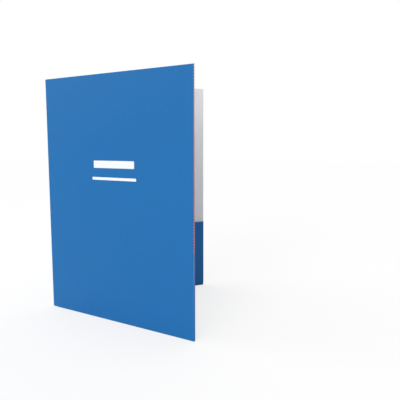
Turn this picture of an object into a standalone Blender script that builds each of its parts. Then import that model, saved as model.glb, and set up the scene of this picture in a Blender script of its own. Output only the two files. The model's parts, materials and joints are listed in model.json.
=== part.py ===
"""Document folder: one die-cut sheet of printed card with two glued pockets, standing ajar on its foot.

The covers turn on a single crease at the spine. Each cover has a pocket panel folded up from its foot, and a tab
folded in from its free edge, to which the pocket panel is glued. Every stretch of card between two creases is an
object of its own.

World frame: +Z up, the foot at Z = 0. The spine is at -X, and the covers open towards +X, the front cover on the
-Y side and the back cover on the +Y side, alike about the plane Y = 0. The origin is the middle of the bounding
box's base.

Cover frame, used for the pieces of one cover: `along` runs from the spine crease to the free edge, `deep` from the
cover's printed outside inwards, and `up` is Z.
"""

from math import atan, cos, hypot, pi, radians, sin

import bmesh
import bpy
from mathutils import Vector

# Driving dimensions, in metres and radians
FOLDER_HEIGHT = 0.3048
COVER_WIDTH = 0.2286
POCKET_HEIGHT = 0.1016
CARD = 0.0006
OPENING = radians(56)

# Pocket panel: its distance from the spine and from the free edge, and the slant of its spine side
POCKET_SPINE_SETBACK = 0.006
POCKET_EDGE_SETBACK = 0.0012
POCKET_SLANT = 0.006

# Glue tab: its width, where it starts above the foot, and how far its ends taper
TAB_WIDTH = 0.019
TAB_FOOT = 0.0025
TAB_TAPER = 0.005
GLUE_THICKNESS = 0.0001
GLUE_WIDTH = 0.010

# Creases: how wide the side fold turns on its outside, how far the bottom fold's two sides rise above its floor, and
# how round its outside is for its card
SIDE_FOLD_RADIUS = 0.0010
BOTTOM_FOLD_RISE = 0.001
CORNER_ROUNDNESS = 0.8
ARC_STEPS = 14
CORNER_STEPS = 4

# Clearances: between layers of card that lie on each other, between the closed halves' pockets at the spine, and
# from the floor up to the cut edges beside the bottom fold and to the foot of the spine fold
LAYER_GAP = 0.0001
CLOSED_SLACK = 0.0003
CUT_EDGE_LIFT = 0.0004
SPINE_FOOT_LIFT = 0.0008

# Worked out from the sizes above
HALF_OPENING = OPENING / 2
SPINE_RADIUS = 2 * CARD + LAYER_GAP + CLOSED_SLACK / 2
FREE_EDGE = COVER_WIDTH - SPINE_RADIUS
SIDE_FOLD_START = FREE_EDGE - SIDE_FOLD_RADIUS
TAB_OUTER = SIDE_FOLD_START - LAYER_GAP
TAB_INNER = TAB_OUTER - TAB_WIDTH
TAB_DEEP = 2 * SIDE_FOLD_RADIUS - CARD
GLUE_DEEP = TAB_DEEP + CARD + LAYER_GAP
POCKET_START = POCKET_SPINE_SETBACK
POCKET_END = FREE_EDGE - POCKET_EDGE_SETBACK
BOTTOM_FOLD_HEIGHT = CARD + BOTTOM_FOLD_RISE
BOTTOM_FOLD_CORNER = CORNER_ROUNDNESS * CARD
PANEL_FOOT = BOTTOM_FOLD_HEIGHT + LAYER_GAP

# The pocket panel lies on the cover at the spine side, and on the glued tab at the free edge
POCKET_DEEP = CARD + LAYER_GAP
POCKET_SLOPE = (GLUE_DEEP + GLUE_THICKNESS + LAYER_GAP - POCKET_DEEP) / (TAB_INNER - POCKET_START)

# Finishes: colour and roughness
PRINTED_CARD = ((0.026, 0.174, 0.462, 1.0), 0.45)
WHITE_CARD = ((0.80, 0.80, 0.79, 1.0), 0.80)
DRY_GLUE = ((0.78, 0.74, 0.60, 1.0), 0.40)


def pocket_deep(along):
    """How deep the back of the pocket panel lies at this distance from the spine crease."""
    return POCKET_DEEP + POCKET_SLOPE * (along - POCKET_START)


def furthest_reach():
    """How far the folder reaches from the spine's centre towards +X: at the cover, the side fold or the pocket."""
    corners = (
        (FREE_EDGE, CARD),
        (POCKET_END, pocket_deep(POCKET_END) + CARD),
    )
    reaches = [along * cos(HALF_OPENING) + (deep - SPINE_RADIUS) * sin(HALF_OPENING) for along, deep in corners]
    fold = SIDE_FOLD_START * cos(HALF_OPENING) + (SIDE_FOLD_RADIUS - SPINE_RADIUS) * sin(HALF_OPENING)
    return max(reaches + [fold + SIDE_FOLD_RADIUS])


SPINE_X = (SPINE_RADIUS - furthest_reach()) / 2


def clear_scene():
    for obj in list(bpy.data.objects):
        bpy.data.objects.remove(obj, do_unlink=True)


def new_collection(name):
    collection = bpy.data.collections.new(name)
    bpy.context.scene.collection.children.link(collection)
    return collection


def new_material(name, finish):
    colour, roughness = finish
    material = bpy.data.materials.new(name)
    material.use_nodes = True
    shader = material.node_tree.nodes["Principled BSDF"]
    shader.inputs["Base Color"].default_value = colour
    shader.inputs["Roughness"].default_value = roughness
    shader.inputs["Metallic"].default_value = 0.0
    material.diffuse_color = colour
    return material


class Cover:
    """One half of the folder: its hinge empty, and how points in the cover frame become the empty's own."""

    def __init__(self, name, hand, collection):
        self.name = name
        self.hand = hand
        self.collection = collection
        self.hinge = bpy.data.objects.new(f"{name}_cover_hinge", None)
        self.hinge.location = (SPINE_X, 0, 0)
        self.hinge.rotation_euler = (0, 0, -hand * HALF_OPENING)
        collection.objects.link(self.hinge)

    def deep(self, deep):
        """The hinge empty's own Y at a depth from the cover's outside."""
        return self.hand * (deep - SPINE_RADIUS)

    def add(self, piece, data, finish):
        name = f"{self.name}_{piece}"
        data.name = name
        data.materials.append(new_material(name, finish))
        obj = bpy.data.objects.new(name, data)
        self.collection.objects.link(obj)
        obj.parent = self.hinge
        return obj

    def add_sheet(self, piece, outline, deep, thickness, finish):
        """A flat sheet with this (along, up) outline, standing upright with its outer side at `deep`."""
        obj = self.add(piece, sheet_curve(outline, thickness), finish)
        obj.location = (0, self.deep(deep + thickness / 2), 0)
        obj.rotation_euler = (pi / 2, 0, 0)
        return obj


def sheet_curve(outline, thickness):
    """A flat outline with this thickness, as a filled 2D curve."""
    curve = bpy.data.curves.new("sheet", "CURVE")
    curve.dimensions = "2D"
    curve.fill_mode = "BOTH"
    curve.extrude = thickness / 2
    spline = curve.splines.new("POLY")
    spline.points.add(len(outline) - 1)
    for point, (along, up) in zip(spline.points, outline):
        point.co = (along, up, 0, 1)
    spline.use_cyclic_u = True
    return curve


def bent_sheet(name, centre, radius, start_angle, sweep, bottom, top):
    """A card crease: an upright strip swept round an arc, with its printed side outwards."""
    bm = bmesh.new()
    start = Vector((centre[0] + radius * cos(start_angle), centre[1] + radius * sin(start_angle), 0))
    side = [bm.verts.new(start + Vector((0, 0, up))) for up in (bottom, top)]
    edge = bm.edges.new(side)
    bmesh.ops.spin(
        bm, geom=side + [edge], cent=(*centre, 0), axis=(0, 0, 1), angle=sweep, steps=ARC_STEPS
    )
    bmesh.ops.recalc_face_normals(bm, faces=bm.faces)
    bm.faces.ensure_lookup_table()
    first = bm.faces[0]
    if first.normal.xy.dot(first.calc_center_median().xy - Vector(centre)) < 0:
        bmesh.ops.reverse_faces(bm, faces=bm.faces)
    mesh = bpy.data.meshes.new(name)
    bm.to_mesh(mesh)
    bm.free()
    mesh.shade_smooth()
    return mesh


def thicken(obj):
    """Gives an open sheet the card's thickness, inwards from its printed side."""
    solidify = obj.modifiers.new("card", "SOLIDIFY")
    solidify.thickness = CARD
    solidify.offset = -1
    solidify.use_even_offset = True
    solidify.use_rim = True


def fold_section(depth):
    """The U of a bottom fold seen end on, as (deep, up) points: round the outside, then back along the inside."""
    section = [(0, BOTTOM_FOLD_HEIGHT)]
    for centre, start in ((BOTTOM_FOLD_CORNER, pi), (depth - BOTTOM_FOLD_CORNER, 3 * pi / 2)):
        for step in range(CORNER_STEPS + 1):
            angle = start + step / CORNER_STEPS * pi / 2
            section.append((centre + BOTTOM_FOLD_CORNER * cos(angle), BOTTOM_FOLD_CORNER * (1 + sin(angle))))
    section.append((depth, BOTTOM_FOLD_HEIGHT))
    section.append((depth - CARD, BOTTOM_FOLD_HEIGHT))
    section.append((depth - CARD, CARD))
    section.append((CARD, CARD))
    section.append((CARD, BOTTOM_FOLD_HEIGHT))
    return section


def make_cover(cover):
    """The large flat panel, cut back where the side fold, the bottom fold and the spine fold join it."""
    outline = [
        (LAYER_GAP, CUT_EDGE_LIFT),
        (POCKET_START - LAYER_GAP, CUT_EDGE_LIFT),
        (POCKET_START - LAYER_GAP, PANEL_FOOT),
        (POCKET_END + LAYER_GAP, PANEL_FOOT),
        (POCKET_END + LAYER_GAP, CUT_EDGE_LIFT),
        (FREE_EDGE, CUT_EDGE_LIFT),
        (FREE_EDGE, TAB_FOOT - LAYER_GAP),
        (TAB_OUTER, TAB_FOOT - LAYER_GAP),
        (TAB_OUTER, POCKET_HEIGHT + LAYER_GAP),
        (FREE_EDGE, POCKET_HEIGHT + LAYER_GAP),
        (FREE_EDGE, FOLDER_HEIGHT),
        (LAYER_GAP, FOLDER_HEIGHT),
    ]
    cover.add_sheet("cover", outline, 0, CARD, PRINTED_CARD)


def make_bottom_fold(cover):
    """The crease at the foot, a U that widens from the spine side to the glued side."""
    bm = bmesh.new()
    rings = []
    for along in (POCKET_START, POCKET_END):
        section = fold_section(pocket_deep(along) + CARD)
        rings.append([bm.verts.new((along, cover.deep(deep), up)) for deep, up in section])
    for i, corner in enumerate(rings[0]):
        bm.faces.new((rings[0][i - 1], corner, rings[1][i], rings[1][i - 1]))
    for ring in rings:
        bm.faces.new(ring)
    bmesh.ops.recalc_face_normals(bm, faces=bm.faces)
    mesh = bpy.data.meshes.new("bottom_fold")
    bm.to_mesh(mesh)
    bm.free()
    mesh.shade_smooth()
    mesh.set_sharp_from_angle(angle=radians(30))
    cover.add("bottom_fold", mesh, PRINTED_CARD)


def make_pocket(cover):
    """The pocket panel, leaning out from the cover towards the glued tab."""
    lean = atan(POCKET_SLOPE)
    length = hypot(POCKET_END - POCKET_START, pocket_deep(POCKET_END) - pocket_deep(POCKET_START))
    outline = [
        (0, PANEL_FOOT),
        (length, PANEL_FOOT),
        (length, POCKET_HEIGHT),
        (POCKET_SLANT, POCKET_HEIGHT),
    ]
    pocket = cover.add("pocket", sheet_curve(outline, CARD), PRINTED_CARD)
    pocket.location = (
        POCKET_START - CARD / 2 * sin(lean),
        cover.deep(pocket_deep(POCKET_START) + CARD / 2 * cos(lean)),
        0,
    )
    pocket.rotation_euler = (pi / 2, 0, cover.hand * lean)


def make_side_fold(cover):
    """The crease round the cover's free edge, from the cover to its glue tab."""
    centre = (SIDE_FOLD_START, cover.deep(SIDE_FOLD_RADIUS))
    mesh = bent_sheet("side_fold", centre, SIDE_FOLD_RADIUS, -pi / 2, pi, TAB_FOOT, POCKET_HEIGHT)
    thicken(cover.add("side_fold", mesh, PRINTED_CARD))


def make_glue_tab(cover):
    """The tab behind the pocket panel, tapered at both ends."""
    outline = [
        (TAB_OUTER, TAB_FOOT),
        (TAB_OUTER, POCKET_HEIGHT),
        (TAB_INNER, POCKET_HEIGHT - TAB_TAPER),
        (TAB_INNER, TAB_FOOT + TAB_TAPER),
    ]
    cover.add_sheet("glue_tab", outline, TAB_DEEP, CARD, WHITE_CARD)


def make_glue_line(cover):
    """The line of dry adhesive between the tab and the pocket panel."""
    margin = (TAB_WIDTH - GLUE_WIDTH) / 2
    bottom, top = TAB_FOOT + TAB_TAPER, POCKET_HEIGHT - TAB_TAPER
    outline = [
        (TAB_INNER + margin, bottom),
        (TAB_OUTER - margin, bottom),
        (TAB_OUTER - margin, top),
        (TAB_INNER + margin, top),
    ]
    cover.add_sheet("glue_line", outline, GLUE_DEEP, GLUE_THICKNESS, DRY_GLUE)


def make_spine_fold(collection):
    """The crease that both covers turn on. Its foot is cut a little short, so that it bends clear of the floor."""
    start, sweep = pi / 2 + HALF_OPENING, pi - OPENING
    mesh = bent_sheet("spine_fold", (0, 0), SPINE_RADIUS, start, sweep, SPINE_FOOT_LIFT, FOLDER_HEIGHT)
    obj = bpy.data.objects.new("spine_fold", mesh)
    mesh.materials.append(new_material("spine_fold", PRINTED_CARD))
    collection.objects.link(obj)
    obj.location = (SPINE_X, 0, 0)
    thicken(obj)


def main():
    clear_scene()
    collection = new_collection("document_folder")
    for name, hand in (("front", 1), ("back", -1)):
        cover = Cover(name, hand, collection)
        make_cover(cover)
        make_bottom_fold(cover)
        make_pocket(cover)
        make_side_fold(cover)
        make_glue_tab(cover)
        make_glue_line(cover)
    make_spine_fold(collection)


main()
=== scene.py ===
"""Looks of a two-pocket document folder of printed card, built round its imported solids.

Each stretch of card between two creases is modelled as a thin printed sheet with a white inside and
cut edges. The sheets are made for the front cover, lying in the cover's own frame, and copied mirrored
for the back cover.

Cover frame: X runs along the cover from the spine to the free edge, Y goes in from the hinge line, so
that the printed outside is at a negative Y, and Z is up.

Sheet place: where a point of the card lies on the flat sheet before folding, in metres. X is the
distance from the middle of the spine crease, positive on the front cover, and Y is the height above the
foot crease, negative on the pockets. The print and the card's grain are laid out on it, so they follow
the card round its folds.
"""

import json
from math import atan2, cos, pi, radians, sin

import bpy
from mathutils import Matrix, Vector


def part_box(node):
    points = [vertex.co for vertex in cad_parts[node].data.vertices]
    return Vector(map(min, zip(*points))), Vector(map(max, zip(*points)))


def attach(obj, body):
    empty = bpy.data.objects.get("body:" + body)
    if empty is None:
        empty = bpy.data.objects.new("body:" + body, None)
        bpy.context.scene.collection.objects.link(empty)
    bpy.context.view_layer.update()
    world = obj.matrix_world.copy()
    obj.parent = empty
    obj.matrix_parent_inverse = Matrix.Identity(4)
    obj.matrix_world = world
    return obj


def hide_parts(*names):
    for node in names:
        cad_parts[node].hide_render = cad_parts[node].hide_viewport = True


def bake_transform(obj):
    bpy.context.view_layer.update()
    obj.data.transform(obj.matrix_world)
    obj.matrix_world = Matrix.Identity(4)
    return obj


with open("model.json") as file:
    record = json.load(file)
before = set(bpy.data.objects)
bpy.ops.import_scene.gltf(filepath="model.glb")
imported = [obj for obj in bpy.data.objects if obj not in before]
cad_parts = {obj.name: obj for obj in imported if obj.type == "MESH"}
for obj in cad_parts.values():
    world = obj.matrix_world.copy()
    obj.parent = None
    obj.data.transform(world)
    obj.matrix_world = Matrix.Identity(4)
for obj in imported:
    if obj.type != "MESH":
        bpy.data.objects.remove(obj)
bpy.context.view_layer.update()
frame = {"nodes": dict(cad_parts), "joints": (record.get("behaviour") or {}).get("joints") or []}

ALONG, DEEP, UP = 0, 1, 2

# The hinge, and how far the covers stand open: the joint's upper limit is the folder lying flat
HINGE = frame["joints"][0]
SPINE_PLACE = Vector((HINGE["pos_m"][0], HINGE["pos_m"][1], 0))
OPENING = pi - radians(HINGE["range_deg"][1])
HALF_OPENING = OPENING / 2
TO_COVER = Matrix.Rotation(HALF_OPENING, 4, "Z") @ Matrix.Translation(-SPINE_PLACE)

# How near to a border of its solid a corner is taken to lie on it
BORDER_REACH = 0.001


def corners(node):
    """The corners of one of the front half's solids, in the cover frame."""
    return [TO_COVER @ vertex.co for vertex in frame["nodes"][node].data.vertices]


def low(node, axis):
    return min(corner[axis] for corner in corners(node))


def high(node, axis):
    return max(corner[axis] for corner in corners(node))


def pocket_face_at(end):
    """How deep the pocket panel's printed face lies at its spine end or its free end."""
    middle = (CREASE_START + CREASE_END) / 2
    return max(c.y for c in corners("front_pocket") if (c.x > middle) == (end == "free"))


# Sizes of the front half, read from its solids
OUTSIDE = low("front_cover", DEEP)
CARD = high("front_cover", DEEP) - OUTSIDE
HEIGHT = high("front_cover", UP)
CUT_FOOT = low("front_cover", UP)
COVER_START = low("front_cover", ALONG)
FREE_EDGE = high("front_cover", ALONG)
SPINE_RADIUS = -OUTSIDE
SPINE_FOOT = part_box("spine_fold")[0].z
CREASE_START = low("front_bottom_fold", ALONG)
CREASE_END = high("front_bottom_fold", ALONG)
PANEL_FOOT = low("front_pocket", UP)
POCKET_TOP = high("front_pocket", UP)
POCKET_NEAR = pocket_face_at("spine")
POCKET_FAR = pocket_face_at("free")
POCKET_SLANT = min(c.x for c in corners("front_pocket") if c.z > POCKET_TOP - BORDER_REACH) - CREASE_START
SIDE_RADIUS = (high("front_side_fold", DEEP) - OUTSIDE) / 2
SIDE_START = FREE_EDGE - SIDE_RADIUS
SIDE_FOOT = low("front_side_fold", UP)
TAB_INNER = low("front_glue_tab", ALONG)
TAB_OUTER = high("front_glue_tab", ALONG)
TAB_FACE = high("front_glue_tab", DEEP)
TAB_TAPER = min(c.z for c in corners("front_glue_tab") if c.x < TAB_INNER + BORDER_REACH) - SIDE_FOOT

# Fine shape of the card, which the solids leave out
EDGE_ROUNDING = 0.00007
EDGE_STEPS = 2
CREASE_CORNER = 0.8 * CARD
CREASE_STEPS = 8
FOLD_STEPS = 96
GLUE_ROUNDING = 0.004
GLUE_STEPS = 6
SMOOTH_BELOW = radians(50)

# How close two places are taken to be the same, and how close to a cut a point is moved onto it
SAME_PLACE = 0.000002
CUT_SNAP = 0.0000005

# Lengths on the flat sheet
SPINE_ARC = SPINE_RADIUS * (pi - OPENING) / 2
SHEET_FREE_EDGE = SPINE_ARC + FREE_EDGE
SHEET_SIDE_CREASE = SPINE_ARC + SIDE_START
SIDE_ARC = SIDE_RADIUS * pi
FOOT_WIDTH = POCKET_NEAR - OUTSIDE
SHEET_POCKET_TOP = FOOT_WIDTH + POCKET_TOP


# Modelling helpers

def select_only(obj):
    bpy.ops.object.select_all(action="DESELECT")
    obj.select_set(True)
    bpy.context.view_layer.objects.active = obj


def apply_place(obj):
    select_only(obj)
    bpy.ops.object.transform_apply(location=True, rotation=True, scale=True)


def pick(obj, kind, wanted):
    """Enters edit mode with those vertices, edges or faces selected whose middle passes `wanted`."""
    select_only(obj)
    bpy.ops.object.mode_set(mode="EDIT")
    bpy.ops.mesh.select_mode(type=kind)
    bpy.ops.mesh.select_all(action="DESELECT")
    bpy.ops.object.mode_set(mode="OBJECT")
    mesh = obj.data
    places = [vertex.co for vertex in mesh.vertices]
    items = {"VERT": mesh.vertices, "EDGE": mesh.edges, "FACE": mesh.polygons}[kind]
    for item in items:
        members = [item.index] if kind == "VERT" else item.vertices
        middle = sum((places[i] for i in members), Vector()) / len(members)
        item.select = bool(wanted(middle, item))
    bpy.ops.object.mode_set(mode="EDIT")


def leave_edit():
    bpy.ops.object.mode_set(mode="OBJECT")


def move_picked(step):
    bpy.ops.transform.translate(value=step)
    leave_edit()


def bisect(obj, point, normal, **clear):
    select_only(obj)
    bpy.ops.object.mode_set(mode="EDIT")
    bpy.ops.mesh.select_all(action="SELECT")
    bpy.ops.mesh.bisect(plane_co=point, plane_no=normal, threshold=CUT_SNAP, **clear)
    leave_edit()


def cut_across(obj, axis, place, **clear):
    """Cuts the mesh along a plane square to an axis."""
    normal = [0, 0, 0]
    normal[axis] = 1
    point = [0, 0, 0]
    point[axis] = place
    bisect(obj, point, normal, **clear)


def is_near(value, place):
    return abs(value - place) < SAME_PLACE


def upright_sheet(name, along, up, deep, faces_in=False):
    """A flat upright sheet in the cover frame, its printed side out of the cover or into it."""
    turn = -pi / 2 if faces_in else pi / 2
    place = (sum(along) / 2, deep, sum(up) / 2)
    bpy.ops.mesh.primitive_plane_add(size=1, location=place, rotation=(turn, 0, 0))
    sheet = bpy.context.object
    sheet.name = name
    sheet.scale = (along[1] - along[0], up[1] - up[0], 1)
    apply_place(sheet)
    return sheet


def upright_tube(name, centre, radius, bottom, top):
    """An open upright tube, to be cut down to an arc."""
    place = (centre[0], centre[1], (bottom + top) / 2)
    bpy.ops.mesh.primitive_cylinder_add(
        vertices=FOLD_STEPS, radius=radius, depth=top - bottom, end_fill_type="NOTHING", location=place
    )
    tube = bpy.context.object
    tube.name = name
    apply_place(tube)
    return tube


# The order of a sheet's materials
PRINTED, INSIDE, CUT = 0, 1, 2


def thicken(obj):
    """Gives a sheet the card's thickness behind its printed side."""
    for name in ("printed_card", "white_card", "cut_edge"):
        obj.data.materials.append(FINISHES[name])
    solidify = obj.modifiers.new("card", "SOLIDIFY")
    solidify.thickness = CARD
    solidify.offset = -1
    solidify.use_even_offset = True
    solidify.material_offset = INSIDE
    solidify.material_offset_rim = CUT
    select_only(obj)
    bpy.ops.object.modifier_apply(modifier=solidify.name)


def round_cut_edges(obj, is_cut, sides=(PRINTED, INSIDE)):
    """Rounds the long edges of each cut edge on the sides given. Joints to the next sheet stay square."""
    finish_of = {}
    for face in obj.data.polygons:
        for key in face.edge_keys:
            finish_of.setdefault(key, set()).add(face.material_index)

    def wanted(middle, edge):
        around = finish_of[tuple(sorted(edge.vertices))]
        return any(around == {side, CUT} for side in sides) and is_cut(middle)

    pick(obj, "EDGE", wanted)
    bpy.ops.mesh.bevel(offset=EDGE_ROUNDING, segments=EDGE_STEPS, affect="EDGES", clamp_overlap=True)
    leave_edit()


def at_ends(bottom, top):
    """Tells whether an edge is at the bottom or the top of an upright crease."""
    return lambda middle: is_near(middle.z, bottom) or is_near(middle.z, top)


def shade(obj):
    select_only(obj)
    bpy.ops.object.shade_smooth_by_angle(angle=SMOOTH_BELOW)


def lay_out(obj, unfold):
    """Writes each point's place on the flat sheet."""
    places = obj.data.attributes.new("sheet", "FLOAT_VECTOR", "POINT")
    for vertex, place in zip(obj.data.vertices, places.data):
        along, up = unfold(vertex.co)
        place.vector = (along, up, 0)


# Where the points of each sheet lie before folding

def unfold_cover(point):
    return SPINE_ARC + point.x, point.z


def unfold_side(point):
    """Round the crease at the free edge, with a short flat at each end."""
    deep = point.y - (OUTSIDE + SIDE_RADIUS)
    flat = SIDE_START - point.x
    if flat < 0:
        return SHEET_SIDE_CREASE + SIDE_RADIUS * (atan2(deep, -flat) + pi / 2), point.z
    if deep < 0:
        return unfold_cover(point)
    return unfold_tab(point)


def unfold_tab(point):
    return SHEET_SIDE_CREASE + SIDE_ARC + SIDE_START - point.x, point.z


def unfold_foot(point):
    """Down the cover's side of the foot crease, across its floor and up the pocket's side."""
    across = (point.y - OUTSIDE) / FOOT_WIDTH
    across = min(max(across, 0), 1)
    return SPINE_ARC + point.x, point.z * (1 - 2 * across) - across * FOOT_WIDTH


def unfold_pocket(point):
    return SPINE_ARC + point.x, -FOOT_WIDTH - point.z


def unfold_spine(point):
    """Round the spine crease, from the back cover to the front, for a point seen from the hinge line."""
    around = atan2(-point.y, -point.x)
    return SPINE_RADIUS * around, point.z


# The sheets of the front half

def make_cover():
    """The cover, cut back where the creases at its foot and its free edge take over."""
    cover = upright_sheet("cover_sheet", (COVER_START, FREE_EDGE), (CUT_FOOT, HEIGHT), OUTSIDE)
    for place in (CREASE_START, TAB_OUTER, CREASE_END):
        cut_across(cover, ALONG, place)
    for place in (PANEL_FOOT, SIDE_FOOT, POCKET_TOP):
        cut_across(cover, UP, place)

    def folded_away(middle, face):
        at_foot = middle.z < PANEL_FOOT and CREASE_START < middle.x < CREASE_END
        at_side = middle.x > TAB_OUTER and SIDE_FOOT < middle.z < POCKET_TOP
        return at_foot or at_side

    pick(cover, "FACE", folded_away)
    bpy.ops.mesh.delete(type="FACE")
    leave_edit()
    thicken(cover)

    def is_cut(middle):
        to_spine = is_near(middle.x, COVER_START)
        to_foot = is_near(middle.z, PANEL_FOOT) and CREASE_START < middle.x < CREASE_END
        to_side = is_near(middle.x, TAB_OUTER) and SIDE_FOOT < middle.z < POCKET_TOP
        return not (to_spine or to_foot or to_side)

    round_cut_edges(cover, is_cut)
    shade(cover)
    lay_out(cover, unfold_cover)
    return cover


def make_foot_crease():
    """The U at the foot: a box without top and ends, its lower edges rounded, wider at the free edge."""
    middle_along = (CREASE_START + CREASE_END) / 2
    middle_deep = (POCKET_NEAR + OUTSIDE) / 2
    bpy.ops.mesh.primitive_cube_add(size=1, location=(middle_along, middle_deep, PANEL_FOOT / 2))
    crease = bpy.context.object
    crease.name = "foot_crease"
    crease.scale = (CREASE_END - CREASE_START, FOOT_WIDTH, PANEL_FOOT)
    apply_place(crease)

    def is_open(middle, face):
        at_top = face.normal.z > 0.5
        at_end = abs(face.normal.x) > 0.5
        return at_top or at_end

    pick(crease, "FACE", is_open)
    bpy.ops.mesh.delete(type="FACE")
    leave_edit()
    pick(crease, "EDGE", lambda middle, edge: is_near(middle.z, 0) and is_near(middle.x, middle_along))
    bpy.ops.mesh.bevel(offset=CREASE_CORNER, segments=CREASE_STEPS, affect="EDGES")
    leave_edit()
    pick(crease, "VERT", lambda middle, vertex: middle.y > middle_deep and is_near(middle.x, CREASE_END))
    move_picked((0, POCKET_FAR - POCKET_NEAR, 0))
    thicken(crease)
    round_cut_edges(crease, lambda middle: not is_near(middle.z, PANEL_FOOT), sides=(PRINTED,))
    shade(crease)
    lay_out(crease, unfold_foot)
    return crease


def make_pocket():
    """The pocket panel: its spine side slants, and it leans out towards the glued tab."""
    pocket = upright_sheet(
        "pocket_sheet", (CREASE_START, CREASE_END), (PANEL_FOOT, POCKET_TOP), POCKET_NEAR, faces_in=True
    )
    lean = (POCKET_FAR - POCKET_NEAR) / (CREASE_END - CREASE_START)
    pick(pocket, "VERT", lambda middle, vertex: is_near(middle.x, CREASE_END))
    move_picked((0, POCKET_FAR - POCKET_NEAR, 0))

    def at_mouth_corner(middle, vertex):
        return is_near(middle.x, CREASE_START) and is_near(middle.z, POCKET_TOP)

    pick(pocket, "VERT", at_mouth_corner)
    move_picked((POCKET_SLANT, POCKET_SLANT * lean, 0))
    thicken(pocket)
    round_cut_edges(pocket, lambda middle: not is_near(middle.z, PANEL_FOOT))
    shade(pocket)
    lay_out(pocket, unfold_pocket)
    return pocket


def make_side_crease():
    """The half turn round the cover's free edge, from the cover to the glue tab."""
    centre = (SIDE_START, OUTSIDE + SIDE_RADIUS)
    crease = upright_tube("side_crease", centre, SIDE_RADIUS, SIDE_FOOT, POCKET_TOP)
    cut_across(crease, ALONG, SIDE_START, clear_inner=True)

    def at_end_of_turn(middle, edge):
        return is_near(middle.x, SIDE_START) and not is_near(middle.y, centre[1])

    pick(crease, "EDGE", at_end_of_turn)
    bpy.ops.mesh.extrude_edges_move(TRANSFORM_OT_translate={"value": (TAB_OUTER - SIDE_START, 0, 0)})
    leave_edit()
    thicken(crease)
    round_cut_edges(crease, at_ends(SIDE_FOOT, POCKET_TOP), sides=(PRINTED,))
    shade(crease)
    lay_out(crease, unfold_side)
    return crease


def make_tab():
    """The glue tab, tapered towards its inner side."""
    across = (TAB_INNER, TAB_OUTER)
    tab = upright_sheet("tab_sheet", across, (SIDE_FOOT, POCKET_TOP), TAB_FACE, faces_in=True)
    for end, step in ((SIDE_FOOT, TAB_TAPER), (POCKET_TOP, -TAB_TAPER)):
        pick(tab, "VERT", lambda middle, vertex: is_near(middle.x, TAB_INNER) and is_near(middle.z, end))
        move_picked((0, 0, step))
    thicken(tab)
    round_cut_edges(tab, lambda middle: not is_near(middle.x, TAB_OUTER))
    shade(tab)
    lay_out(tab, unfold_tab)
    return tab


def make_glue():
    """A pressed line of dry glue with rounded corners."""
    along = (low("front_glue_line", ALONG), high("front_glue_line", ALONG))
    up = (low("front_glue_line", UP), high("front_glue_line", UP))
    bottom, top = low("front_glue_line", DEEP), high("front_glue_line", DEEP)
    glue = upright_sheet("glue", along, up, top, faces_in=True)
    pick(glue, "VERT", lambda middle, vertex: True)
    bpy.ops.mesh.bevel(offset=GLUE_ROUNDING, segments=GLUE_STEPS, affect="VERTICES")
    leave_edit()
    glue.data.materials.append(FINISHES["dry_glue"])
    solidify = glue.modifiers.new("film", "SOLIDIFY")
    solidify.thickness = top - bottom
    solidify.offset = -1
    select_only(glue)
    bpy.ops.object.modifier_apply(modifier=solidify.name)
    shade(glue)
    lay_out(glue, unfold_tab)
    return glue


def make_spine():
    """The crease that both covers turn on: part of a tube between them, with a short flat at each end."""
    spine = upright_tube("spine_crease", (0, 0), SPINE_RADIUS, SPINE_FOOT, HEIGHT)
    # The ways that the front cover (1) and the back cover (-1) run from the hinge line
    ways = {hand: Vector((cos(HALF_OPENING), -hand * sin(HALF_OPENING), 0)) for hand in (1, -1)}
    for way in ways.values():
        bisect(spine, (0, 0, 0), way, clear_outer=True)
    for hand, way in ways.items():
        pick(spine, "EDGE", lambda middle, edge: is_near(middle.dot(way), 0) and -hand * middle.y > 0)
        bpy.ops.mesh.extrude_edges_move(TRANSFORM_OT_translate={"value": way * COVER_START})
        leave_edit()
    thicken(spine)
    round_cut_edges(spine, at_ends(SPINE_FOOT, HEIGHT), sides=(PRINTED,))
    shade(spine)
    lay_out(spine, unfold_spine)
    spine.location = SPINE_PLACE
    apply_place(spine)
    return spine


# Inks and papers
BLUE_INK = (0.0056, 0.1405, 0.3975)
WHITE_PAPER = (0.845, 0.860, 0.893)
EDGE_PAPER = (0.74, 0.73, 0.74)
EDGE_INK = (0.016, 0.170, 0.440)
TRIM_DASH = (0.30, 0.005, 0.030)
TRIM_GAP = (0.58, 0.250, 0.250)
EDGE_DASH = (0.43, 0.008, 0.008)
EDGE_GAP = (0.66, 0.260, 0.140)
# The red on the cut edge painted paler towards the top of the cover: painted light
EDGE_TOP_LIT_DASH = (0.56, 0.240, 0.180)
EDGE_TOP_LIT_GAP = (0.85, 0.710, 0.610)
GLUE_FILM = (0.78, 0.74, 0.60)

# Each finish's surface: its roughness and its shine, the scales of its fibres and clouds, and how far the
# grain stands up. The clouds vary the print's roughness, so the value here is only near its mean.
SURFACES = {
    "printed_card": dict(roughness=0.50, specular=0.20, fibres=900.0, clouds=18.0, relief=0.00004),
    "white_card": dict(roughness=0.85, specular=0.25, fibres=900.0, clouds=25.0, relief=0.00006),
    "cut_edge": dict(roughness=0.90, specular=0.20, fibres=2200.0, clouds=120.0, relief=0.00003),
    "dry_glue": dict(roughness=0.40, specular=0.50, fibres=300.0, clouds=60.0, relief=0.00005),
}

# The scale of the surface's coarser unevenness, as a share of the fibres' scale
COARSE_SHARE = 0.3

# How much the clouds and the fibres change a finish's tone
PRINT_CLOUD_TONE = 0.03
PAPER_FIBRE_TONE = 0.55
PAPER_CLOUD_TONE = 0.04
EDGE_FIBRE_TONE = 0.5

# The print's roughness: its least, and how much the clouds add
PRINT_LEAST_ROUGHNESS = 0.44
PRINT_CLOUD_ROUGHNESS = 0.16

# Fibres that show through the print: from where to where they come up, and how pale they get
SPECK_START = 0.50
SPECK_END = 0.80
SPECK_SHARE = 0.05

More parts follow.
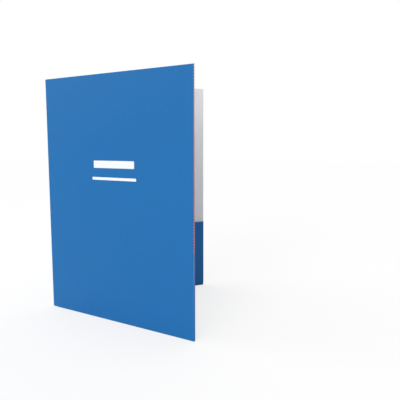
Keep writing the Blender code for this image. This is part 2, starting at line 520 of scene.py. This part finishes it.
# The trim: how far it reaches from the free edge and from a pocket's top, and its dashes
TRIM_WIDTH = 0.0008
POCKET_TRIM_WIDTH = 0.0002
TRIM_PITCH = 0.0033
TRIM_DASH_SHARE = 0.4

# The blush on the side crease: its strength, and at which shares of the crease's turn it fades and is gone
CREASE_BLUSH = 0.17
BLUSH_FADES = 0.52
BLUSH_GONE = 0.62

# How far the print goes on past the side crease, onto the glue tab
PRINT_BLEED = 0.003

# Plain blocks in place of words, two on the front and four on the back: middle along and up, width, height
BLOCKS_FROM_SPINE = 0.1143
FRONT_BLOCKS = (
    (BLOCKS_FROM_SPINE, 0.1965, 0.0635, 0.0090),
    (BLOCKS_FROM_SPINE, 0.1790, 0.0690, 0.0034),
)
BACK_BLOCKS_FOOT = 0.0340
BACK_BLOCKS_PITCH = 0.0073
BACK_BLOCKS = tuple(
    (-BLOCKS_FROM_SPINE, BACK_BLOCKS_FOOT + BACK_BLOCKS_PITCH * i, 0.046, 0.0026) for i in range(4)
)
BLOCK_CORNER = 0.0008


# Node helpers

def add_node(tree, kind, inputs=None, **settings):
    """Adds a node. An input is a value, or an output to link it to."""
    made = tree.nodes.new(kind)
    for name, value in settings.items():
        setattr(made, name, value)
    for socket, value in (inputs or {}).items():
        if isinstance(value, bpy.types.NodeSocket):
            tree.links.new(value, made.inputs[socket])
        else:
            made.inputs[socket].default_value = value
    return made


def calc(tree, operation, first, second=0.0, clamp=False):
    made = add_node(tree, "ShaderNodeMath", {0: first, 1: second}, operation=operation, use_clamp=clamp)
    return made.outputs[0]


def vector_calc(tree, operation, first, second=None):
    inputs = {0: first} if second is None else {0: first, 1: second}
    return add_node(tree, "ShaderNodeVectorMath", inputs, operation=operation).outputs


def alike(tree, value):
    """A vector with the same value on each axis."""
    return add_node(tree, "ShaderNodeCombineXYZ", {"X": value, "Y": value, "Z": value}).outputs[0]


def ramp(tree, value, start, end):
    """0 at `start` and 1 at `end`, held beyond them."""
    inputs = {"Value": value, "From Min": start, "From Max": end}
    return add_node(tree, "ShaderNodeMapRange", inputs, clamp=True).outputs[0]


# A Mix node's sockets for its two colours and for their mix come after those for numbers and vectors
MIX_FIRST, MIX_SECOND, MIX_RESULT = 6, 7, 2


def mix_colour(tree, share, first, second, blend="MIX"):
    """Mixes two colours, or blends the second into the first, by a share from 0 to 1."""
    made = add_node(tree, "ShaderNodeMix", {"Factor": share}, data_type="RGBA", blend_type=blend)
    for socket, value in ((made.inputs[MIX_FIRST], first), (made.inputs[MIX_SECOND], second)):
        if isinstance(value, bpy.types.NodeSocket):
            tree.links.new(value, socket)
        else:
            socket.default_value = (*value, 1)
    return made.outputs[MIX_RESULT]


def noise(tree, place, scale, detail=2.0, roughness=0.5):
    inputs = {"Vector": place, "Scale": scale, "Detail": detail, "Roughness": roughness}
    return add_node(tree, "ShaderNodeTexNoise", inputs).outputs["Fac"]


def new_group(name, inputs, outputs):
    """A node group with named inputs, each with its kind and value, and named outputs."""
    group = bpy.data.node_groups.new(name, "ShaderNodeTree")
    for socket, (kind, value) in inputs.items():
        made = group.interface.new_socket(socket, in_out="INPUT", socket_type="NodeSocket" + kind)
        if value is not None:
            made.default_value = value
    for socket, kind in outputs.items():
        group.interface.new_socket(socket, in_out="OUTPUT", socket_type="NodeSocket" + kind)
    return group, group.nodes.new("NodeGroupInput").outputs, group.nodes.new("NodeGroupOutput").inputs


def use_group(tree, group, inputs):
    return add_node(tree, "ShaderNodeGroup", inputs, node_tree=group).outputs


# Effects that the finishes share

def make_grain_group():
    """The card's own look: fine fibres, soft clouds where it is denser, and the height of its surface."""
    inputs = {"Place": ("Vector", None), "Fibre scale": ("Float", 900.0), "Cloud scale": ("Float", 40.0)}
    outputs = {"Fibres": "Float", "Clouds": "Float", "Height": "Float"}
    group, given, made = new_group("card_grain", inputs, outputs)
    fibres = noise(group, given["Place"], given["Fibre scale"], detail=4.0, roughness=0.6)
    clouds = noise(group, given["Place"], given["Cloud scale"], detail=3.0, roughness=0.55)
    coarse_scale = calc(group, "MULTIPLY", given["Fibre scale"], COARSE_SHARE)
    both = calc(group, "ADD", fibres, noise(group, given["Place"], coarse_scale))
    group.links.new(fibres, made["Fibres"])
    group.links.new(clouds, made["Clouds"])
    group.links.new(calc(group, "MULTIPLY", both, 0.5), made["Height"])
    return group


def make_block_group():
    """A plain block of print with rounded corners, laid out by its middle and its half size."""
    inputs = {
        "Place": ("Vector", None),
        "Middle": ("Vector", None),
        "Half size": ("Vector", None),
        "Corner": ("Float", BLOCK_CORNER),
    }
    group, given, made = new_group("print_block", inputs, {"Mask": "Float"})
    offset = vector_calc(group, "SUBTRACT", given["Place"], given["Middle"])[0]
    away = vector_calc(group, "ABSOLUTE", offset)[0]
    past = vector_calc(group, "SUBTRACT", away, given["Half size"])[0]
    inset = vector_calc(group, "ADD", past, alike(group, given["Corner"]))[0]
    outside = vector_calc(group, "MAXIMUM", inset, (0, 0, 0))[0]
    on_sheet = vector_calc(group, "MULTIPLY", outside, (1, 1, 0))[0]
    distance = vector_calc(group, "LENGTH", on_sheet)["Value"]
    group.links.new(calc(group, "LESS_THAN", distance, given["Corner"]), made["Mask"])
    return group


def make_trim_group():
    """A run of dashes, and a share rising along it that paints the edge's trim paler as painted light."""
    inputs = {
        "Run": ("Float", 0.0),
        "Pitch": ("Float", TRIM_PITCH),
        "Dash share": ("Float", TRIM_DASH_SHARE),
        "Top light start": ("Float", POCKET_TOP),
        "Top light end": ("Float", HEIGHT),
    }
    group, given, made = new_group("trim_dashes", inputs, {"Dash": "Float", "Fade": "Float"})
    within = calc(group, "FRACT", calc(group, "DIVIDE", given["Run"], given["Pitch"]))
    group.links.new(calc(group, "LESS_THAN", within, given["Dash share"]), made["Dash"])
    group.links.new(ramp(group, given["Run"], given["Top light start"], given["Top light end"]), made["Fade"])
    return group


# Finishes

def new_finish(name):
    """A material with its shader, its node tree and the place on the sheet."""
    material = bpy.data.materials.new(name)
    material.use_nodes = True
    tree = material.node_tree
    shader = tree.nodes["Principled BSDF"]
    shader.inputs["Roughness"].default_value = SURFACES[name]["roughness"]
    shader.inputs["Specular IOR Level"].default_value = SURFACES[name]["specular"]
    place = add_node(tree, "ShaderNodeAttribute", attribute_name="sheet").outputs["Vector"]
    return material, tree, shader, place


def sheet_axes(tree, place):
    """How far from the spine's middle a point lies on the sheet, and how high above the foot crease."""
    axes = add_node(tree, "ShaderNodeSeparateXYZ", {"Vector": place}).outputs
    return calc(tree, "ABSOLUTE", axes["X"]), axes["Y"]


def add_grain(tree, groups, place, name):
    """The grain of a finish, at its own scales."""
    scales = {"Fibre scale": SURFACES[name]["fibres"], "Cloud scale": SURFACES[name]["clouds"]}
    return use_group(tree, groups["grain"], {"Place": place, **scales})


def add_bump(tree, shader, height, name):
    inputs = {"Height": height, "Distance": SURFACES[name]["relief"], "Strength": 1.0}
    bump = add_node(tree, "ShaderNodeBump", inputs)
    tree.links.new(bump.outputs["Normal"], shader.inputs["Normal"])


def toned(tree, colour, share, value):
    """Lightens and darkens a colour with a noise, which varies about a half."""
    tone = calc(tree, "ADD", calc(tree, "MULTIPLY", calc(tree, "SUBTRACT", value, 0.5), share), 1.0)
    return mix_colour(tree, 1.0, colour, alike(tree, tone), "MULTIPLY")


def add_blocks(tree, groups, place, colour):
    """Leaves the card unprinted in the plain blocks."""
    blank = 0.0
    for middle_along, middle_up, width, height in FRONT_BLOCKS + BACK_BLOCKS:
        block = use_group(tree, groups["block"], {
            "Place": place,
            "Middle": (middle_along, middle_up, 0),
            "Half size": (width / 2, height / 2, 1),
        })
        blank = calc(tree, "ADD", blank, block["Mask"])
    return mix_colour(tree, blank, colour, WHITE_PAPER)


def add_trim(tree, groups, from_spine, up, colour):
    """The dashed red trim on the free edge above the pocket, and a thinner one along the pocket's top."""
    beside_edge = calc(tree, "GREATER_THAN", from_spine, SHEET_FREE_EDGE - TRIM_WIDTH)
    above_pocket = calc(tree, "GREATER_THAN", up, POCKET_TOP)
    at_edge = calc(tree, "MULTIPLY", beside_edge, above_pocket)
    at_pocket_top = calc(tree, "LESS_THAN", up, POCKET_TRIM_WIDTH - SHEET_POCKET_TOP)
    for run, share in ((up, at_edge), (from_spine, at_pocket_top)):
        line = use_group(tree, groups["trim"], {"Run": run})
        trim = mix_colour(tree, line["Dash"], TRIM_GAP, TRIM_DASH)
        colour = mix_colour(tree, share, colour, trim)
    return colour


def add_crease_blush(tree, from_spine, up, colour):
    """A faint red on the outer side of the side crease, which fades from the pocket's top to the foot."""
    gone = SHEET_SIDE_CREASE + BLUSH_GONE * SIDE_ARC
    fades = SHEET_SIDE_CREASE + BLUSH_FADES * SIDE_ARC
    start = ramp(tree, from_spine, SHEET_SIDE_CREASE - TRIM_WIDTH, SHEET_SIDE_CREASE)
    end = ramp(tree, from_spine, gone, fades)
    below_top = calc(tree, "LESS_THAN", up, POCKET_TOP)
    rise = calc(tree, "MULTIPLY", ramp(tree, up, 0.0, POCKET_TOP), below_top)
    across = calc(tree, "MULTIPLY", start, end)
    share = calc(tree, "MULTIPLY", calc(tree, "MULTIPLY", across, rise), CREASE_BLUSH)
    return mix_colour(tree, share, colour, TRIM_GAP)


def make_printed_card(groups):
    """Blue offset print with a satin coat. Fibres of the card show through it as pale specks."""
    material, tree, shader, place = new_finish("printed_card")
    from_spine, up = sheet_axes(tree, place)
    grain = add_grain(tree, groups, place, "printed_card")
    colour = toned(tree, BLUE_INK, PRINT_CLOUD_TONE, grain["Clouds"])
    specks = calc(tree, "MULTIPLY", ramp(tree, grain["Fibres"], SPECK_START, SPECK_END), SPECK_SHARE)
    colour = mix_colour(tree, specks, colour, WHITE_PAPER)
    colour = add_blocks(tree, groups, place, colour)
    colour = add_trim(tree, groups, from_spine, up, colour)
    colour = add_crease_blush(tree, from_spine, up, colour)
    past_bleed = calc(tree, "GREATER_THAN", from_spine, SHEET_SIDE_CREASE + SIDE_ARC + PRINT_BLEED)
    colour = mix_colour(tree, past_bleed, colour, WHITE_PAPER)
    tree.links.new(colour, shader.inputs["Base Color"])
    rough = calc(tree, "MULTIPLY", grain["Clouds"], PRINT_CLOUD_ROUGHNESS)
    tree.links.new(calc(tree, "ADD", rough, PRINT_LEAST_ROUGHNESS), shader.inputs["Roughness"])
    add_bump(tree, shader, grain["Height"], "printed_card")
    return material


def make_white_card(groups):
    """The bare inside of the card, uncoated, with its fibres in the light."""
    material, tree, shader, place = new_finish("white_card")
    # Its grain is taken a metre away from the print's, so that the two sides of the card aren't alike
    moved = add_node(tree, "ShaderNodeMapping", {"Vector": place, "Location": (0, 0, 1.0)}).outputs[0]
    grain = add_grain(tree, groups, moved, "white_card")
    colour = toned(tree, WHITE_PAPER, PAPER_FIBRE_TONE, grain["Fibres"])
    colour = toned(tree, colour, PAPER_CLOUD_TONE, grain["Clouds"])
    tree.links.new(colour, shader.inputs["Base Color"])
    add_bump(tree, shader, grain["Height"], "white_card")
    return material


def make_cut_edge(groups):
    """Raw card where it was cut, red on the free edges above the pockets, inked at the foot corners."""
    material, tree, shader, place = new_finish("cut_edge")
    from_spine, up = sheet_axes(tree, place)
    grain = add_grain(tree, groups, place, "cut_edge")
    paper = toned(tree, EDGE_PAPER, EDGE_FIBRE_TONE, grain["Fibres"])
    line = use_group(tree, groups["trim"], {"Run": up})
    trim = mix_colour(tree, line["Dash"], EDGE_GAP, EDGE_DASH)
    # Painted light: the red on the edge is painted paler from the pocket's top up to the top of the cover
    top_lit_trim = mix_colour(tree, line["Dash"], EDGE_TOP_LIT_GAP, EDGE_TOP_LIT_DASH)
    trim = mix_colour(tree, line["Fade"], trim, top_lit_trim)
    at_edge = calc(tree, "GREATER_THAN", from_spine, SHEET_FREE_EDGE - CARD / 2)
    above_pocket = calc(tree, "GREATER_THAN", up, POCKET_TOP)
    colour = mix_colour(tree, calc(tree, "MULTIPLY", at_edge, above_pocket), paper, trim)
    at_corner = calc(tree, "GREATER_THAN", from_spine, SPINE_ARC + CREASE_END - CARD)
    at_foot = calc(tree, "LESS_THAN", calc(tree, "ABSOLUTE", up), SIDE_FOOT + CARD)
    colour = mix_colour(tree, calc(tree, "MULTIPLY", at_corner, at_foot), colour, EDGE_INK)
    tree.links.new(colour, shader.inputs["Base Color"])
    add_bump(tree, shader, grain["Height"], "cut_edge")
    return material


def make_dry_glue(groups):
    """A thin film of glue, clouded where it lies thicker."""
    material, tree, shader, place = new_finish("dry_glue")
    grain = add_grain(tree, groups, place, "dry_glue")
    colour = mix_colour(tree, grain["Clouds"], GLUE_FILM, WHITE_PAPER)
    tree.links.new(colour, shader.inputs["Base Color"])
    add_bump(tree, shader, grain["Height"], "dry_glue")
    return material


def make_finishes():
    groups = {"grain": make_grain_group(), "block": make_block_group(), "trim": make_trim_group()}
    return {
        "printed_card": make_printed_card(groups),
        "white_card": make_white_card(groups),
        "cut_edge": make_cut_edge(groups),
        "dry_glue": make_dry_glue(groups),
    }


# Setting the pieces in place

# For each piece of a half, the solid that it stands for and its slot
PIECES = {
    "cover_sheet": ("cover", "printed_card"),
    "foot_crease": ("bottom_fold", "printed_card"),
    "pocket_sheet": ("pocket", "printed_card"),
    "side_crease": ("side_fold", "printed_card"),
    "tab_sheet": ("glue_tab", "white_card"),
    "glue": ("glue_line", "dry_glue"),
}


def mirrored(obj):
    """A copy for the back cover, alike about the hinge line, and laid out on the sheet's other half."""
    select_only(obj)
    bpy.ops.object.duplicate()
    copy = bpy.context.object
    copy.scale = (1, -1, 1)
    apply_place(copy)
    pick(copy, "FACE", lambda middle, face: True)
    bpy.ops.mesh.normals_make_consistent(inside=False)
    leave_edit()
    for place in copy.data.attributes["sheet"].data:
        place.vector = (-place.vector.x, place.vector.y, 0)
    return copy


def settle(obj, half, turn):
    """Turns a finished piece into its place, ties it to its body, and hides the solid that it stands for.
    """
    kind = obj.name.split(".")[0]
    node, finish = PIECES[kind]
    obj.name = f"{half}_{kind}"
    obj.data.name = obj.name
    obj.rotation_euler = (0, 0, turn)
    obj.location = SPINE_PLACE
    apply_place(obj)
    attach(obj, f"{half}_cover")
    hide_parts(f"{half}_{node}")


def build_folder():
    for make in (make_cover, make_foot_crease, make_pocket, make_side_crease, make_tab, make_glue):
        front = make()
        back = mirrored(front)
        settle(front, "front", -HALF_OPENING)
        settle(back, "back", HALF_OPENING)
    spine = make_spine()
    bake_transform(spine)
    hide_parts("spine_fold")


# The studio

CAMERA_PLACE = (0.13111, -0.59392, 0.21850)
CAMERA_TILT = radians(6.479)
CAMERA_TURN = radians(2.665)
CAMERA_NEAR_CLIP = 0.01
LENS = 40.731
LENS_SHIFT = (-0.00473, -0.00595)
SENSOR_WIDTH = 36.0
FLOOR_SIZE = 12.0
FLOOR_GREY = 0.98
FLOOR_WHITE_SHARE = 0.70
WHITE = (1, 1, 1, 1)

# Soft lights of the sky: the way to each one's middle, its strength, and how narrow it is
SOFT_LIGHTS = {
    "key": ((-0.35, -0.80, 0.45), 3.85, 20.0),
    "low": ((-0.30, -0.90, 0.15), 5.0, 40.0),
    "side": ((-0.80, 0.10, 0.60), 1.45, 6.0),
    "back": ((0.0, 0.70, 0.70), 1.0, 4.0),
    "top": ((0.0, 0.0, 1.0), 0.75, 8.0),
    "open_side": ((0.50, 0.0, 0.90), 1.0, 8.0),
}

# A soft lamp high at the spine's side, which gives the front cover its sheen
SIDE_LAMP_WAY = (-0.8, 0.1, 0.8)
SIDE_LAMP_DISTANCE = 1.2
SIDE_LAMP_SIZE = 0.6
SIDE_LAMP_WATTS = 0.95


def make_camera():
    camera = bpy.data.cameras.new("camera")
    camera.lens = LENS
    camera.sensor_width = SENSOR_WIDTH
    camera.shift_x, camera.shift_y = LENS_SHIFT
    camera.clip_start = CAMERA_NEAR_CLIP
    obj = bpy.data.objects.new("camera", camera)
    obj.location = CAMERA_PLACE
    obj.rotation_euler = (pi / 2 - CAMERA_TILT, 0, CAMERA_TURN)
    bpy.context.scene.collection.objects.link(obj)
    bpy.context.scene.camera = obj


def seen_rays(tree):
    """1 for what the camera sees, directly, in a reflection or through glass."""
    path = add_node(tree, "ShaderNodeLightPath").outputs
    glossy = calc(tree, "ADD", path["Is Camera Ray"], path["Is Glossy Ray"])
    return calc(tree, "ADD", glossy, path["Is Transmission Ray"], clamp=True)


def make_floor():
    """A white floor that keeps a faint shadow."""
    bpy.ops.mesh.primitive_plane_add(size=FLOOR_SIZE, location=(0, 0, 0))
    floor = bpy.context.object
    floor.name = "floor"
    material = bpy.data.materials.new("floor")
    material.use_nodes = True
    tree = material.node_tree
    tree.nodes.remove(tree.nodes["Principled BSDF"])
    paint = add_node(tree, "ShaderNodeBsdfDiffuse", {"Color": (FLOOR_GREY, FLOOR_GREY, FLOOR_GREY, 1)})
    white = add_node(tree, "ShaderNodeEmission", {"Color": WHITE, "Strength": 1.0})
    share = calc(tree, "MULTIPLY", seen_rays(tree), FLOOR_WHITE_SHARE)
    mixed = add_node(tree, "ShaderNodeMixShader", {0: share, 1: paint.outputs[0], 2: white.outputs[0]})
    tree.links.new(mixed.outputs[0], tree.nodes["Material Output"].inputs["Surface"])
    floor.data.materials.append(material)


def make_side_lamp():
    data = bpy.data.lights.new("side_lamp", "AREA")
    data.shape = "DISK"
    data.size = SIDE_LAMP_SIZE
    data.energy = SIDE_LAMP_WATTS
    lamp = bpy.data.objects.new("side_lamp", data)
    way = Vector(SIDE_LAMP_WAY).normalized()
    lamp.location = Vector((0, 0, HEIGHT / 2)) + way * SIDE_LAMP_DISTANCE
    lamp.rotation_euler = way.to_track_quat("Z", "Y").to_euler()
    lamp.visible_camera = False
    bpy.context.scene.collection.objects.link(lamp)


def make_sky():
    """Wide soft lights round the object, with a plain white backdrop."""
    world = bpy.data.worlds.new("studio")
    world.use_nodes = True
    bpy.context.scene.world = world
    tree = world.node_tree
    tree.nodes.clear()
    way = add_node(tree, "ShaderNodeTexCoord").outputs["Generated"]
    strength = 0.0
    for middle, peak, narrowness in SOFT_LIGHTS.values():
        facing = vector_calc(tree, "DOT_PRODUCT", way, Vector(middle).normalized())["Value"]
        facing = calc(tree, "MAXIMUM", facing, 0.0)
        glow = calc(tree, "MULTIPLY", calc(tree, "POWER", facing, narrowness), peak)
        strength = calc(tree, "ADD", strength, glow)
    light = add_node(tree, "ShaderNodeBackground", {"Color": WHITE, "Strength": strength})
    backdrop = add_node(tree, "ShaderNodeBackground", {"Color": WHITE, "Strength": 1.0})
    mixed = add_node(
        tree, "ShaderNodeMixShader", {0: seen_rays(tree), 1: light.outputs[0], 2: backdrop.outputs[0]}
    )
    out = add_node(tree, "ShaderNodeOutputWorld", {"Surface": mixed.outputs[0]})
    out.is_active_output = True


bpy.ops.object.select_all(action="DESELECT")
make_camera()
FINISHES = make_finishes()
build_folder()
make_floor()
make_sky()
make_side_lamp()
bpy.context.scene.view_settings.view_transform = "Standard"
bpy.context.view_layer.update()
